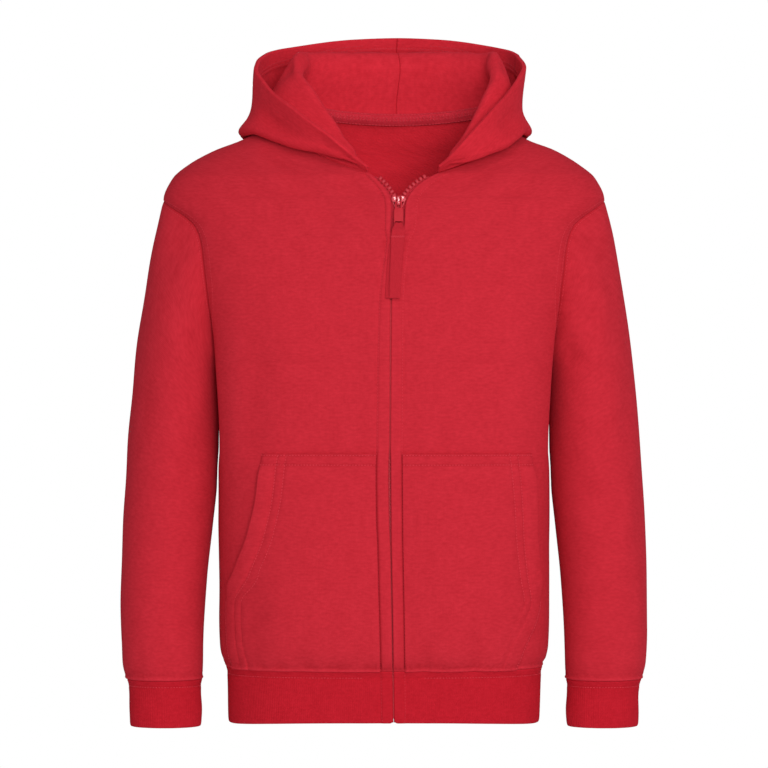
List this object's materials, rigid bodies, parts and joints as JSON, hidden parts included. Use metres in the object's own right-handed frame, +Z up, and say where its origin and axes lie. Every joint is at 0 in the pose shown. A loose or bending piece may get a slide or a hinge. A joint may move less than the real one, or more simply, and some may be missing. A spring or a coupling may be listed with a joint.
{
  "type": "zip hoodie",
  "caption": "Child's full-zip hooded fleece sweatshirt with an open hood, slanted patch pockets, rib cuffs and hem band, and a slider with a swinging fabric pull.",
  "frame": {"origin": "where the wearer's shoulders carry it: on the middle plane, level with the base of the neck and between the two shoulder seams", "axes": "+Z up towards the hood, -Y towards the front with the zip, +X towards the wearer's left"},
  "size_m": [0.461, 0.224, 0.6148],
  "materials": {
    "fleece": "matte brushed-back cotton fleece",
    "hood_fleece": "matte cotton fleece, two layers",
    "rib_knit": "matte fine rib knit",
    "neck_tape": "matte jersey strip under rows of stitching",
    "zip_tape": "woven tape with a coil of teeth in the same red",
    "zip_metal": "glossy red enamel",
    "pull_tab": "matte woven tape, folded double"
  },
  "bodies": {
    "garment": {"front_left": "fleece", "front_right": "fleece", "back": "fleece", "pocket_left": "fleece", "pocket_right": "fleece", "sleeve_left": "fleece", "sleeve_right": "fleece", "cuff_left": "rib_knit", "cuff_right": "rib_knit", "hem_band": "rib_knit", "hood_left": "hood_fleece", "hood_right": "hood_fleece", "neck_tape": "neck_tape", "zip_tape_left": "zip_tape", "zip_tape_right": "zip_tape", "zip_slider": "zip_metal"},
    "zip_pull": {"zip_puller": "zip_metal", "pull_tab": "pull_tab"}
  },
  "joints": [
    {"name": "pull_swing", "type": "hinge", "parent": "garment", "child": "zip_pull", "pos_m": [0.0125, -0.07111, -0.0674], "axis": [-1, 0, 0], "range_deg": [0, 150]}
  ]
}
